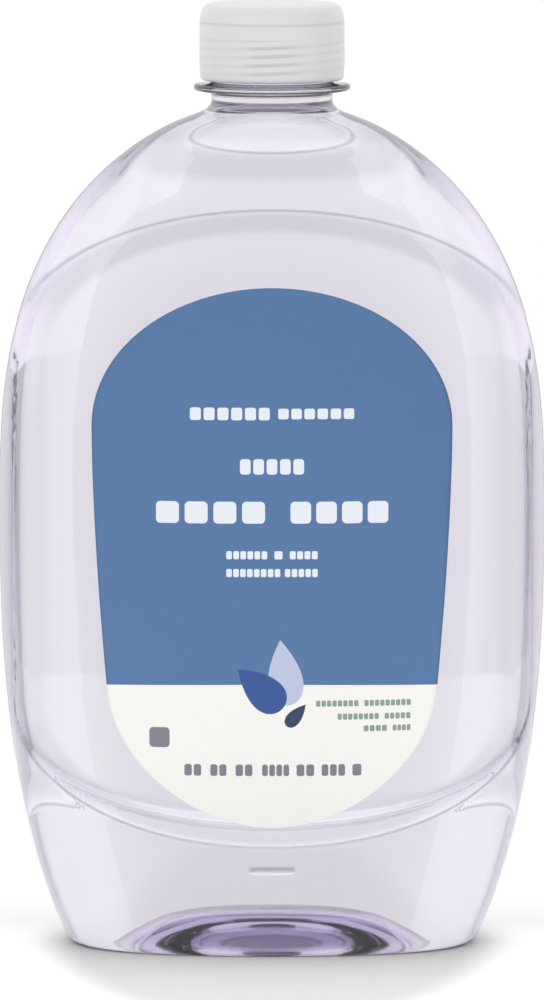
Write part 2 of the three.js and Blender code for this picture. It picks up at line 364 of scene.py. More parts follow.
class Nodes:
    """Adds nodes to a material or a world and links them."""

    def __init__(self, owner, output="ShaderNodeOutputMaterial"):
        owner.use_nodes = True
        self.owner = owner
        self.tree = owner.node_tree
        self.tree.nodes.clear()
        self.output = self.add(output)

    def add(self, kind, inputs=None, **settings):
        node = self.tree.nodes.new(kind)
        for key, value in settings.items():
            setattr(node, key, value)
        for key, value in (inputs or {}).items():
            self.put(node.inputs[key], value)
        return node

    def put(self, socket, value):
        if isinstance(value, bpy.types.NodeSocket):
            self.tree.links.new(value, socket)
        else:
            socket.default_value = value

    def math(self, operation, *values):
        node = self.add("ShaderNodeMath", operation=operation)
        for socket, value in zip(node.inputs, values):
            self.put(socket, value)
        return node.outputs[0]

    def mix(self, share, first, second):
        node = self.add("ShaderNodeMix", data_type="RGBA")
        self.put(node.inputs[0], share)
        self.put(node.inputs[6], first)
        self.put(node.inputs[7], second)
        return node.outputs[2]

    def ramp(self, value, low, high, at_low, at_high):
        node = self.add("ShaderNodeMapRange", {
            "Value": value, "From Min": low, "From Max": high, "To Min": at_low, "To Max": at_high,
        }, interpolation_type="SMOOTHSTEP")
        return node.outputs[0]

    def away_from(self, value, middle):
        return self.math("ABSOLUTE", self.math("SUBTRACT", value, middle))

    def coordinates(self, kind="Object"):
        return self.add("ShaderNodeTexCoord").outputs[kind]

    def split(self, kind="Object"):
        return self.add("ShaderNodeSeparateXYZ", {"Vector": self.coordinates(kind)}).outputs

    def noise(self, scale, detail):
        node = self.add("ShaderNodeTexNoise", {
            "Vector": self.coordinates(), "Scale": scale, "Detail": detail})
        return node.outputs["Fac"]

    def bump(self, height, strength, distance):
        node = self.add("ShaderNodeBump", {"Height": height, "Strength": strength, "Distance": distance})
        return node.outputs["Normal"]

    def finish(self, shader, volume=None):
        self.put(self.output.inputs["Surface"], shader.outputs[0])
        if volume is not None:
            self.put(self.output.inputs["Volume"], volume.outputs[0])
        return self.owner


def new_material(name):
    """The nodes of a new material."""
    return Nodes(bpy.data.materials.new(name))


def panel_painted_shade(n, x, z, settings):
    """Painted shade round a label panel: a dark line on its border and a soft band inside it."""
    over = n.math("DIVIDE", n.math("SUBTRACT", z, PANEL_HIGH), PANEL_TOP - PANEL_HIGH)
    under = n.math("DIVIDE", n.math("SUBTRACT", PANEL_LOW, z), PANEL_LOW - PANEL_BOTTOM)
    along = n.math("MAXIMUM", n.math("MAXIMUM", over, under), 0.0)
    across = n.math("DIVIDE", n.math("ABSOLUTE", x), PANEL_HALF_WIDTH)
    reach = n.math("ADD", n.math("POWER", across, PANEL_POWER), n.math("POWER", along, PANEL_POWER))
    inside = n.math("SUBTRACT", 1.0, n.math("POWER", reach, 1 / PANEL_POWER))
    line = n.ramp(n.math("ABSOLUTE", inside), 0.0, settings.crease_width, settings.crease_shade, 0.0)
    band = n.ramp(n.away_from(inside, BAND_MIDDLE), BAND_CORE, BAND_RIM, settings.slope_shade, 0.0)
    weaker_at_sides = n.ramp(along, 0.0, 0.5, 0.3, 1.0)
    return n.math("MULTIPLY", n.math("MAXIMUM", line, band), weaker_at_sides)


def notch_painted_shade(n, x, y, z, settings):
    """Painted shade in the front's locating notch."""
    end = settings.notch_half_width
    across = n.ramp(n.math("ABSOLUTE", x), end, end + 1.4 * MM, 1.0, 0.0)
    up = n.ramp(n.away_from(z, settings.notch_height), 0.3 * MM, 1.1 * MM, 1.0, 0.0)
    return n.math("MULTIPLY", n.math("MULTIPLY", across, up), n.math("LESS_THAN", y, 0.0))


def round_reach(n, x, y):
    """Distance from the axis, with the depth stretched until the oval foot is round."""
    deep = n.math("MULTIPLY", y, FOOT_HALF_WIDTH / FOOT_HALF_DEPTH)
    return n.math("SQRT", n.math("MULTIPLY_ADD", x, x, n.math("MULTIPLY", deep, deep)))


def clear_plastic(settings):
    """Blown clear plastic, glossy and faintly wavy, with painted shade at the panels' borders, in the notch
    and in the push-up, and darker where seen edge on: partly the longer path, partly painted shade.
    """
    n = new_material("clear_plastic")
    x, y, z = n.split()
    # Painted shade at the panels' borders and in the notch.
    crease_shade = n.math("MAXIMUM", panel_painted_shade(n, x, z, settings), notch_painted_shade(n, x, y, z, settings))
    # Painted shade: the push-up is painted a darker violet.
    push_up_shade = n.math("MULTIPLY", n.ramp(round_reach(n, x, y), FOOT_INNER - 4 * MM, FOOT_INNER, 1.0, 0.0),
                     n.ramp(z, PUSH_UP_HEIGHT + 0.5 * MM, PUSH_UP_HEIGHT + 1 * MM, 1.0, 0.0))
    # Darker where the plastic is seen edge on: partly its longer path through it, partly painted shade.
    grazing = n.add("ShaderNodeLayerWeight", {"Blend": 0.5}).outputs["Facing"]
    colour = n.mix(crease_shade, linear(settings.plastic_colour), linear(settings.crease_shade_colour))
    colour = n.mix(push_up_shade, colour, linear(settings.push_up_shade_colour))
    colour = n.mix(n.ramp(grazing, 0.72, 0.96, 0.0, settings.edge), colour, linear(settings.edge_shade_colour))
    shader = n.add("ShaderNodeBsdfPrincipled", {
        "Base Color": colour,
        "Roughness": 0.02,
        "IOR": 1.57,
        "Transmission Weight": 1.0,
        "Normal": n.bump(n.noise(45.0, 1.0), 0.12, 0.0006),
    })
    return n.finish(shader)


def liquid_soap(settings):
    """Clear liquid soap with a faint tint that deepens with its thickness."""
    n = new_material("liquid_soap")
    shader = n.add("ShaderNodeBsdfPrincipled", {
        "Base Color": [1, 1, 1, 1],
        "Roughness": 0.0,
        "IOR": 1.36,
        "Transmission Weight": 1.0,
    })
    volume = n.add("ShaderNodeVolumeAbsorption", {
        "Color": linear(settings.tint),
        "Density": settings.density,
    })
    return n.finish(shader, volume)


def thread_painted_shade(n, x, y, z):
    """Painted shade where the neck's thread and lip show through the cap, fading toward its two sides."""
    turn = n.math("DIVIDE", n.math("ARCTAN2", y, x), 2 * math.pi)
    rise = n.math("DIVIDE", n.math("SUBTRACT", z, THREAD_START), THREAD_PITCH / 2)
    phase = n.math("SUBTRACT", rise, n.math("MULTIPLY", turn, 2.0))
    wave = n.math("COSINE", n.math("MULTIPLY", phase, 2 * math.pi))
    band = n.add("ShaderNodeMapRange", {"Value": wave, "From Min": -0.4, "From Max": 1.0}).outputs[0]
    below = n.math("LESS_THAN", z, THREAD_START + (THREAD_TURNS - 0.3) * THREAD_PITCH)
    above = n.math("GREATER_THAN", z, CAP_LOW.z + 1.6 * MM)
    band = n.math("MULTIPLY", band, n.math("MULTIPLY", below, above))
    band = n.math("MULTIPLY", band, n.ramp(n.math("ABSOLUTE", x), 3 * MM, 10 * MM, 1.0, 0.25))
    lip = n.ramp(n.away_from(z, NECK_TOP), 0.0, 0.6 * MM, 0.7, 0.0)
    return n.math("MAXIMUM", band, lip)


def cap_plastic(settings):
    """Milky polypropylene, with the shade of the thread behind it painted on as soft bands."""
    n = new_material("cap_plastic")
    show = n.math("MULTIPLY", thread_painted_shade(n, *n.split()), settings.thread_shade_strength)
    colour = n.mix(show, linear(settings.light_colour), linear(settings.thread_shade_colour))
    cloud = n.math("MULTIPLY", n.noise(420.0, 3.0), 0.4)
    milk = n.add("ShaderNodeBsdfPrincipled", {
        "Base Color": n.mix(cloud, colour, linear(settings.colour)),
        "Roughness": 0.38,
        "IOR": 1.49,
        "Normal": n.bump(n.noise(900.0, 2.0), 0.1, 0.0001),
    })
    clear = n.add("ShaderNodeBsdfPrincipled", {
        "Base Color": linear(settings.light_colour),
        "Roughness": 0.22,
        "IOR": 1.49,
        "Transmission Weight": 1.0,
    })
    mixed = n.add("ShaderNodeMixShader", {"Fac": settings.clearness})
    n.put(mixed.inputs[1], milk.outputs[0])
    n.put(mixed.inputs[2], clear.outputs[0])
    return n.finish(mixed)


def liner_foam():
    """White foamed plastic."""
    n = new_material("liner_foam")
    grain = n.noise(1500.0, 3.0)
    shader = n.add("ShaderNodeBsdfPrincipled", {
        "Base Color": n.mix(grain, [0.82, 0.82, 0.82, 1], [0.9, 0.9, 0.9, 1]),
        "Roughness": 0.8,
        "Normal": n.bump(grain, 0.3, 0.0001),
    })
    return n.finish(shader)


# Rows of plain blocks in place of the label's lines of print, in millimetres:
# left, right, height of the middle, half height, and how many blocks.
WHITE_ROWS = (
    (-20.5, -0.2, 135.6, 1.55, 6), (1.2, 20.5, 135.6, 1.3, 6),
    (-8.2, 8.2, 122.6, 1.9, 5),
    (-29.2, -1.0, 111.3, 2.7, 4), (3.9, 29.2, 111.3, 2.7, 4),
    (-11.4, -1.0, 100.8, 1.0, 6), (0.6, 2.6, 100.8, 1.0, 1), (4.2, 11.4, 100.8, 1.0, 4),
    (-11.4, 2.2, 96.4, 1.0, 8), (3.0, 11.4, 96.4, 1.0, 5),
)
GREEN_ROWS = (
    (10.7, 21.4, 64.0, 0.75, 8), (22.6, 34.3, 64.0, 0.75, 9),
    (16.0, 26.4, 60.7, 0.75, 8), (27.6, 34.2, 60.7, 0.75, 5),
    (22.4, 28.4, 57.7, 0.75, 4), (29.6, 34.2, 57.7, 0.75, 4),
)
GREY_ROWS = (
    (-21.8, -17.2, 47.4, 1.45, 2), (-15.4, -11.0, 47.4, 1.45, 2), (-9.2, -4.6, 47.4, 1.45, 2),
    (-2.6, 4.4, 47.4, 1.45, 4), (5.8, 10.6, 47.4, 1.45, 2), (12.0, 18.2, 47.4, 1.45, 3),
    (19.8, 22.0, 47.4, 1.45, 1), (-30.2, -25.2, 55.4, 2.5, 1),
)


def row_of_blocks(n, x, z, row):
    """A mask of round-cornered blocks side by side."""
    left, right, middle, half_height, count = row
    pitch = (right - left) / count
    corner = 0.4 * half_height
    half_block = 0.5 * pitch * (1 if count == 1 else 0.8)
    cell = n.math("FRACT", n.math("DIVIDE", n.math("SUBTRACT", x, left), pitch))
    across = n.math("MULTIPLY", n.away_from(cell, 0.5), pitch)
    across = n.math("MAXIMUM", n.math("SUBTRACT", across, half_block - corner), 0.0)
    up = n.math("MAXIMUM", n.math("SUBTRACT", n.away_from(z, middle), half_height - corner), 0.0)
    reach = n.math("MULTIPLY_ADD", up, up, n.math("MULTIPLY", across, across))
    inside = n.math("LESS_THAN", reach, corner**2)
    in_row = n.math("LESS_THAN", n.away_from(x, (left + right) / 2), (right - left) / 2)
    return n.math("MULTIPLY", inside, in_row)


def drop(n, x, z, tip, end, half_width):
    """A mask of a drop from its pointed tip to its round end."""
    dx, dz = end[0] - tip[0], end[1] - tip[1]
    length = math.hypot(dx, dz)
    dx, dz = dx / length, dz / length
    x, z = n.math("SUBTRACT", x, tip[0]), n.math("SUBTRACT", z, tip[1])
    along = n.math("MULTIPLY_ADD", x, dx / length, n.math("MULTIPLY", z, dz / length))
    across = n.math("ABSOLUTE", n.math("MULTIPLY_ADD", x, dz, n.math("MULTIPLY", z, -dx)))
    left_over = n.math("MAXIMUM", n.math("SUBTRACT", 1.0, along), 0.0)
    width = n.math("MULTIPLY", n.math("MULTIPLY", along, n.math("SQRT", left_over)), 2.6 * half_width)
    return n.math("LESS_THAN", across, width)


def satin(n, colour):
    """Finishes a label's material with its faint sheen and grain."""
    shader = n.add("ShaderNodeBsdfPrincipled", {
        "Base Color": colour,
        "Roughness": 0.42,
        "Normal": n.bump(n.noise(1200.0, 2.0), 0.05, 0.0001),
    })
    return n.finish(shader)


def printed_film(settings):
    """Satin label film, plain at the back: a blue field over a cream one, three drops, and rows of blocks."""
    n = new_material("printed_film")
    place = n.split()
    x, z = (n.math("MULTIPLY", place[axis], 1 / MM) for axis in "XZ")
    bow = n.math("MULTIPLY_ADD", n.math("MULTIPLY", x, x), -0.0004, settings.blue_bottom / MM)
    ink = n.noise(260.0, 3.0)

    def tone(colour):
        return n.mix(ink, linear(colour), linear(colour, 0.965))

    colour = n.mix(n.math("GREATER_THAN", z, bow), tone(settings.cream), tone(settings.blue))
    for rows, ink_colour in (
        (WHITE_ROWS, settings.white), (GREEN_ROWS, settings.green), (GREY_ROWS, settings.grey),
    ):
        ink_tone = tone(ink_colour)
        for row in rows:
            colour = n.mix(row_of_blocks(n, x, z, row), colour, ink_tone)
    for tip, end, half_width, drop_colour in (
        ((2.0, 79.8), (4.1, 63.6), 4.3, settings.pale_drop),
        ((-8.4, 72.6), (2.6, 62.8), 4.3, settings.leaf),
        ((8.3, 63.8), (3.6, 58.4), 1.75, settings.navy),
    ):
        colour = n.mix(drop(n, x, z, tip, end, half_width), colour, tone(drop_colour))
    faces_back = n.math("GREATER_THAN", n.split("Normal")["Y"], 0.0)
    return satin(n, n.mix(faces_back, colour, tone(settings.cream)))


def plain_film(settings):
    """Satin label film of one colour."""
    return satin(new_material("plain_film"), linear(settings.cream))


# ---------------------------------------------------------------- settings

class RefillBottleSettings(bpy.types.PropertyGroup):
    """Sizes and colour of the blown bottle."""

    wall: bpy.props.FloatProperty(
        name="Wall", description="Thickness of the blown body's wall",
        default=0.7 * MM, min=0.0003, max=0.002, precision=5, unit="LENGTH")
    panel_depth: bpy.props.FloatProperty(
        name="Panel Depth", description="How far the label panels are pressed in",
        default=PANEL_DEPTH, min=0.0, max=0.003, precision=5, unit="LENGTH")
    panel_slope: bpy.props.FloatProperty(
        name="Panel Side Slope", description="Width of the slope at the sides of a label panel",
        default=4.0 * MM, min=0.0005, max=0.02, precision=5, unit="LENGTH")
    panel_end_slope: bpy.props.FloatProperty(
        name="Panel End Slope", description="Width of the slope at the top and bottom of a label panel",
        default=8.0 * MM, min=0.0005, max=0.02, precision=5, unit="LENGTH")
    notch_height: bpy.props.FloatProperty(
        name="Notch Height", description="Height of the locating notch under the front label",
        default=22.4 * MM, unit="LENGTH")
    notch_half_width: bpy.props.FloatProperty(
        name="Notch Half Width", description="Half of the locating notch's width",
        default=4.8 * MM, min=0.0, max=0.02, precision=5, unit="LENGTH")
    notch_depth: bpy.props.FloatProperty(
        name="Notch Depth", description="How far the locating notch is pressed in",
        default=0.3 * MM, min=0.0, max=0.002, precision=5, unit="LENGTH")
    plastic_colour: bpy.props.FloatVectorProperty(
        name="Plastic", description="Colour of the clear plastic", subtype="COLOR_GAMMA",
        default=(0.985, 0.98, 0.99), min=0, max=1)
    # Painted shade: crease and slope strengths set the dark lines and bands painted at the panels' borders.
    crease_shade: bpy.props.FloatProperty(
        name="Crease Strength", description="How strongly the panels' borders show as lines",
        default=1.0, min=0, max=1)
    slope_shade: bpy.props.FloatProperty(
        name="Slope Strength", description="How strongly the slopes inside those borders show",
        default=0.4, min=0, max=1)
    # Painted shade, partly real: the edge colour and strength darken the plastic where it is seen edge on.
    edge_shade_colour: bpy.props.FloatVectorProperty(
        name="Edge", description="Colour of the plastic where it is seen edge on", subtype="COLOR_GAMMA",
        default=(0.62, 0.60, 0.68), min=0, max=1)
    edge: bpy.props.FloatProperty(
        name="Edge Strength", description="How strongly the plastic darkens where it is seen edge on",
        default=0.8, min=0, max=1)
    crease_width: bpy.props.FloatProperty(
        name="Crease Width", description="Width of the lines at the panels' borders, as a share of the panel",
        default=0.014, min=0, max=0.1)
    # Painted shade: the colour painted along the panels' borders.
    crease_shade_colour: bpy.props.FloatVectorProperty(
        name="Crease", description="Colour of the plastic at the panels' borders", subtype="COLOR_GAMMA",
        default=(0.80, 0.79, 0.83), min=0, max=1)
    # Painted shade: the darker violet painted over the push-up.
    push_up_shade_colour: bpy.props.FloatVectorProperty(
        name="Base", description="Colour of the thick plastic in the push-up", subtype="COLOR_GAMMA",
        default=(0.86, 0.83, 0.92), min=0, max=1)


class RefillSoapSettings(bpy.types.PropertyGroup):
    """Level and colour of the soap."""

    level: bpy.props.FloatProperty(
        name="Level", description="Height of the soap's surface", default=SOAP_HIGH.z, unit="LENGTH")
    tint: bpy.props.FloatVectorProperty(
        name="Tint", description="Colour that the soap lets through", subtype="COLOR_GAMMA",
        default=(0.86, 0.83, 0.92), min=0, max=1)
    density: bpy.props.FloatProperty(
        name="Density", description="How strongly the soap takes on its tint, per metre", default=4.6, min=0)


class RefillCapSettings(bpy.types.PropertyGroup):
    """Colour of the cap."""

    colour: bpy.props.FloatVectorProperty(
        name="Plastic", description="Colour of the cap's milky plastic", subtype="COLOR_GAMMA",
        default=(0.95, 0.95, 0.955), min=0, max=1)
    # Painted shade: thread colour and strength paint the shade of the thread seen through the cap.
    thread_shade_colour: bpy.props.FloatVectorProperty(
        name="Thread", description="Colour where the thread shows through", subtype="COLOR_GAMMA",
        default=(0.74, 0.74, 0.75), min=0, max=1)
    thread_shade_strength: bpy.props.FloatProperty(
        name="Thread Strength", description="How strongly the thread shows through",
        default=0.6, min=0, max=1)
    light_colour: bpy.props.FloatVectorProperty(
        name="Light Plastic", description="Colour where the light comes through", subtype="COLOR_GAMMA",
        default=(0.985, 0.985, 0.99), min=0, max=1)
    clearness: bpy.props.FloatProperty(
        name="Clearness", description="Share of the light that the plastic lets through",
        default=0.2, min=0, max=1)


class RefillLabelSettings(bpy.types.PropertyGroup):
    """Sizes and colours of the labels."""

    film: bpy.props.FloatProperty(
        name="Film", description="Thickness of the label film",
        default=0.12 * MM, min=0.00002, max=0.001, precision=5, unit="LENGTH")
    blue_bottom: bpy.props.FloatProperty(
        name="Blue Field's Bottom", description="Height at which the blue field ends",
        default=68.7 * MM, unit="LENGTH")
    blue: bpy.props.FloatVectorProperty(
        name="Blue", description="Colour of the upper field", subtype="COLOR_GAMMA",
        default=(0.318, 0.466, 0.658), min=0, max=1)
    cream: bpy.props.FloatVectorProperty(
        name="Cream", description="Colour of the lower field", subtype="COLOR_GAMMA",
        default=(0.985, 0.98, 0.965), min=0, max=1)
    white: bpy.props.FloatVectorProperty(
        name="White", description="Colour of the rows on the blue field", subtype="COLOR_GAMMA",
        default=(0.93, 0.95, 0.98), min=0, max=1)
    green: bpy.props.FloatVectorProperty(
        name="Green", description="Colour of the small rows on the cream field", subtype="COLOR_GAMMA",
        default=(0.55, 0.64, 0.58), min=0, max=1)
    grey: bpy.props.FloatVectorProperty(
        name="Grey", description="Colour of the row at the bottom", subtype="COLOR_GAMMA",
        default=(0.5, 0.51, 0.55), min=0, max=1)
    pale_drop: bpy.props.FloatVectorProperty(
        name="Pale Drop", description="Colour of the large drop", subtype="COLOR_GAMMA",
        default=(0.76, 0.79, 0.89), min=0, max=1)
    leaf: bpy.props.FloatVectorProperty(
        name="Blue Drop", description="Colour of the middle drop", subtype="COLOR_GAMMA",
        default=(0.17, 0.33, 0.6), min=0, max=1)
    navy: bpy.props.FloatVectorProperty(
        name="Navy Drop", description="Colour of the small drop", subtype="COLOR_GAMMA",
        default=(0.16, 0.23, 0.37), min=0, max=1)


class RefillStageSettings(bpy.types.PropertyGroup):
    """Camera, floor and light."""

    distance: bpy.props.FloatProperty(
        name="Camera Distance", description="From the camera to the bottle", default=3.2, unit="LENGTH")
    elevation: bpy.props.FloatProperty(
        name="Camera Elevation", description="Angle at which the camera looks down",
        default=math.radians(5.75), subtype="ANGLE")
    view_height: bpy.props.FloatProperty(
        name="View Height", description="Height that fills the picture at the bottle",
        default=0.2486, unit="LENGTH")
    aim_height: bpy.props.FloatProperty(
        name="Aim Height", description="Height that the camera looks at", default=0.1103, unit="LENGTH")
    backdrop: bpy.props.FloatProperty(
        name="Backdrop Light", description="Brightness behind the bottle, under the horizon",
        default=1.04, min=0)
    backdrop_high: bpy.props.FloatProperty(
        name="Backdrop High", description="Brightness behind the bottle, from the horizon up",
        default=0.98, min=0)
    backdrop_middle: bpy.props.FloatProperty(
        name="Backdrop Middle", description="Brightness straight behind the bottle", default=0.87, min=0)
    backdrop_low: bpy.props.FloatProperty(
        name="Backdrop Low", description="Brightness straight behind the bottle, low down",
        default=0.98, min=0)
    left_flag: bpy.props.FloatProperty(
        name="Left Flag", description="Brightness of the dark flag at the left", default=0.74, min=0)
    right_flag: bpy.props.FloatProperty(
        name="Right Flag", description="Brightness of the dark flag at the right", default=0.42, min=0)
    front: bpy.props.FloatProperty(
        name="Front Light", description="Brightness behind the camera", default=0.88, min=0)
    above: bpy.props.FloatProperty(
        name="Top Light", description="Brightness overhead, at the back", default=1.15, min=0)
    above_front: bpy.props.FloatProperty(
        name="Front Top Light", description="Brightness overhead, at the front", default=1.0, min=0)
    # Pool, Under, Fill and Fill Behind are painted light: the floor glows with them.
    pool: bpy.props.FloatProperty(
        name="Floor Pool", description="Extra light on the floor round the bottle", default=0.36, min=0)
    under: bpy.props.FloatProperty(
        name="Floor Under", description="Extra light on the floor under the bottle", default=0.36, min=0)
    fill: bpy.props.FloatProperty(
        name="Floor Fill", description="Extra light on the floor at the back", default=0.13, min=0)
    fill_behind: bpy.props.FloatProperty(
        name="Floor Fill Behind", description="Extra light on the floor straight behind the bottle",
        default=0.21, min=0)


# ---------------------------------------------------------------- pieces

def settle(piece, body, node):
    """Rides a piece on its body in place of its node."""
    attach(piece, body)
    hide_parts(node)


class REFILL_OT_bottle(bpy.types.Operator):
    """Blow the clear bottle with its neck finish"""

    bl_idname = "refill.bottle"
    bl_label = "Bottle"

    def execute(self, context):
        settings = context.scene.refill_bottle
        angle = column_angles(AROUND)
        outer_profile = body_profile(1)
        outer = body_rings(outer_profile, angle, -seam(angle, outer_profile[:, 1]), settings)
        neck_low = round_rings(neck_profile_below_thread(), angle)
        thread_z = np.linspace(THREADED_FROM, NECK_TOP - 0.7 * MM, THREADED_ROWS)
        thread = threaded_rings(NECK_RADIUS, thread_z, angle, THREAD_START, 1)
        bore = NECK_RADIUS - NECK_WALL
        lip = round_rings(np.concatenate([
            bezier([(NECK_RADIUS, NECK_TOP - 0.5 * MM), (NECK_RADIUS, NECK_TOP),
                    (NECK_RADIUS - 0.6 * MM, NECK_TOP)], 5),
            bezier([(bore + 0.5 * MM, NECK_TOP), (bore, NECK_TOP), (bore, NECK_TOP - 0.5 * MM)], 5),
            [(bore, SHOULDER_TOP + 4 * MM)],
        ]), angle)
        inner_profile = body_profile(INNER_FINENESS)
        inset = wall_at(inner_profile[:, 1], settings.wall)[:, None]
        inner = body_rings(inner_profile, angle, inset, settings)[::-1]
        rings = np.concatenate([outer, neck_low, thread, lip, inner])
        piece = loft("clear_bottle", rings, clear_plastic(settings))
        settle(piece, "bottle", "bottle")
        return {"FINISHED"}


class REFILL_OT_soap(bpy.types.Operator):
    """Fill the bottle with liquid soap"""

    bl_idname = "refill.soap"
    bl_label = "Soap"

    def execute(self, context):
        bottle, soap = context.scene.refill_bottle, context.scene.refill_soap
        profile = body_profile(INNER_FINENESS)
        rim_height = soap.level - MENISCUS - 0.2 * MM
        neck = bezier([(NECK_RADIUS, profile[-1, 1]), (NECK_RADIUS, rim_height)], 12, False)
        profile = np.concatenate([profile, neck])
        profile = profile[profile[:, 1] < rim_height + 0.1 * MM]
        inset = (wall_at(profile[:, 1], bottle.wall) - SOAP_OVERLAP)[:, None]
        rings = body_rings(profile, column_angles(AROUND), inset, bottle)
        share_and_rise = ((1, 1), (0.97, 0.45), (0.93, 0.15), (0.85, 0.02), (0.6, 0), (0.3, 0), (0.02, 0))
        surface = np.stack([rings[-1] * [share, share, 0] + [0, 0, soap.level - MENISCUS * (1 - rise)]
                            for share, rise in share_and_rise])
        piece = loft("liquid_soap", np.concatenate([rings, surface]), liquid_soap(soap))
        settle(piece, "bottle", "soap")
        return {"FINISHED"}


class REFILL_OT_cap(bpy.types.Operator):
    """Mould the screw cap with its thread inside"""

    bl_idname = "refill.cap"
    bl_label = "Cap"

    def execute(self, context):
        angle = even_angles(AROUND)
        inside = CAP_HIGH.z - CAP_TOP_WALL
        bottom = CAP_LOW.z
        roof = round_rings(np.concatenate([
            bezier([(0.3 * MM, inside), (CAP_BORE_RADIUS - 1 * MM, inside)], 3),
            bezier([(CAP_BORE_RADIUS - 0.8 * MM, inside), (CAP_BORE_RADIUS, inside),
                    (CAP_BORE_RADIUS, inside - 0.8 * MM)], 5),
        ]), angle)
        skirt_z = np.linspace(inside - 1.2 * MM, bottom + 0.6 * MM, CAP_ROWS)
        skirt = threaded_rings(CAP_BORE_RADIUS, skirt_z, angle, THREAD_START - CAP_THREAD_DROP, -1)
        outside = round_rings(np.concatenate([
            bezier([(CAP_BORE_RADIUS, bottom + 0.3 * MM), (CAP_BORE_RADIUS, bottom),
                    (CAP_BORE_RADIUS + 0.3 * MM, bottom)], 4),
            bezier([(CAP_BORE_RADIUS + 0.35 * MM, bottom), (CAP_RADIUS - 0.25 * MM, bottom),
                    (CAP_RADIUS - 0.15 * MM, bottom + 1.5 * MM)], 8),
            bezier([(CAP_RADIUS - 0.12 * MM, bottom + 1.9 * MM), (CAP_RADIUS, bottom + 4 * MM)], 3),
            bezier([(CAP_RADIUS, bottom + 5 * MM), (CAP_RADIUS, CAP_HIGH.z - 6 * MM)], 4),
            bezier([(CAP_RADIUS, CAP_HIGH.z - 5.5 * MM), (CAP_RADIUS - 0.15 * MM, CAP_HIGH.z - 2 * MM),
                    (CAP_RADIUS - 0.7 * MM, CAP_HIGH.z), (CAP_RADIUS - 3.5 * MM, CAP_HIGH.z)], 18),
            bezier([(CAP_RADIUS - 5 * MM, CAP_HIGH.z), (0.3 * MM, CAP_HIGH.z)], 6),
        ]), angle)
        plastic = cap_plastic(context.scene.refill_cap)
        piece = loft("screw_cap", np.concatenate([roof, skirt, outside]), plastic)
        settle(piece, "cap", "cap")
        return {"FINISHED"}


class REFILL_OT_liner(bpy.types.Operator):
    """Punch the sealing disc"""

    bl_idname = "refill.liner"
    bl_label = "Sealing Disc"

    def execute(self, context):
        radius, low, high = LINER_HIGH.x, LINER_LOW.z, LINER_HIGH.z
        edge = 0.25 * MM
        profile = np.concatenate([
            bezier([(0.3 * MM, low), (radius - 2 * edge, low)], 4),
            bezier([(radius - edge, low), (radius, low), (radius, low + edge)], 4),
            bezier([(radius, high - edge), (radius, high), (radius - edge, high)], 4),
            bezier([(radius - 2 * edge, high), (0.3 * MM, high)], 4),
        ])
        piece = loft("sealing_disc", round_rings(profile, even_angles(DISC_AROUND)), liner_foam())
        settle(piece, "liner", "cap_liner")
        return {"FINISHED"}


def front_half_width(z):
    """Half of the front label's width at height z, from its arched top to its rounded bottom."""
    low, high, widest = FRONT_LOW.z, FRONT_HIGH.z, FRONT_HIGH.x
    spring, corner, corner_width = 132 * MM, 68 * MM, 41.1 * MM
    side_bend, bowl_power = 1.6, 1.85
    arch = widest * np.sqrt(np.clip(1 - ((z - spring) / (high - spring)) ** 2, 0, 1))
    t = np.clip((z - corner) / (spring - corner), 0, 1)
    side = corner_width + (widest - corner_width) * (1 - (1 - t) ** side_bend)
    below = np.clip((corner - z) / (corner - low), 0, 1)
    bowl = corner_width * (1 - below**bowl_power) ** (1 / bowl_power)
    return np.where(z > spring, arch, np.where(z > corner, side, bowl))


def back_half_width(z):
    """Half of the back label's width at height z: a rectangle with round corners."""
    low, high, widest = BACK_LOW.z, BACK_HIGH.z, BACK_HIGH.x
    radius = 8 * MM
    into = np.clip(radius - np.minimum(z - low, high - z), 0, radius)
    return widest - radius + np.sqrt(radius**2 - into**2)


def body_normal(points):
    """Unit normals of the unpressed body at points on it."""
    def level(p):
        x, y, z = np.moveaxis(p, -1, 0)
        power = squareness_at(z)
        return np.abs(x / half_width_at(z)) ** power + np.abs(y / half_depth_at(z)) ** power
    steps = np.eye(3) * 0.01 * MM
    normal = np.stack([level(points + step) - level(points - step) for step in steps], axis=-1)
    return normal / np.linalg.norm(normal, axis=-1, keepdims=True)


def label_piece(name, low, high, half_width, side, film, context):
    """A label that follows the panel under it. side is -1 at the front and 1 at the back."""
    t = np.linspace(0, 1, LABEL_ROWS)
    z = low + (high - low) * (0.5 - 0.5 * np.cos(math.pi * t))
    z[0], z[-1] = low + LABEL_MARGIN, high - LABEL_MARGIN
    x = half_width(z)[:, None] * np.linspace(-1, 1, LABEL_COLUMNS) * -side
    z = np.broadcast_to(z[:, None], x.shape)
    power = squareness_at(z)
    y = side * half_depth_at(z) * (1 - np.abs(x / half_width_at(z)) ** power) ** (1 / power)
    sheet = np.stack([x, y, z], axis=-1)
    normal = body_normal(sheet)
    press = panel_press(x, z, context.scene.refill_bottle)
    lifts = (LABEL_LIFT + context.scene.refill_label.film, LABEL_LIFT)
    points = np.concatenate([(sheet + normal * (lift - press)[..., None]).reshape(-1, 3) for lift in lifts])
    return mesh_object(name, points, sheet_faces(*x.shape), film)


def sheet_faces(rows, columns):
    """Faces of a thin sheet: a grid on its outer side, the same grid on its inner side, and the border."""
    count = rows * columns
    faces = []
    for i in range(rows - 1):
        for j in range(columns - 1):
            a, b = i * columns + j, (i + 1) * columns + j
            faces.append((a, a + 1, b + 1, b))
            faces.append((count + a, count + b, count + b + 1, count + a + 1))
    grid = np.arange(count).reshape(rows, columns)
    border = [*grid[0], *grid[1:, -1], *grid[-1, -2::-1], *grid[-2:0:-1, 0]]
    border = [int(v) for v in border]
    return faces + [(a, count + a, count + b, b) for a, b in zip(border, border[1:] + border[:1])]


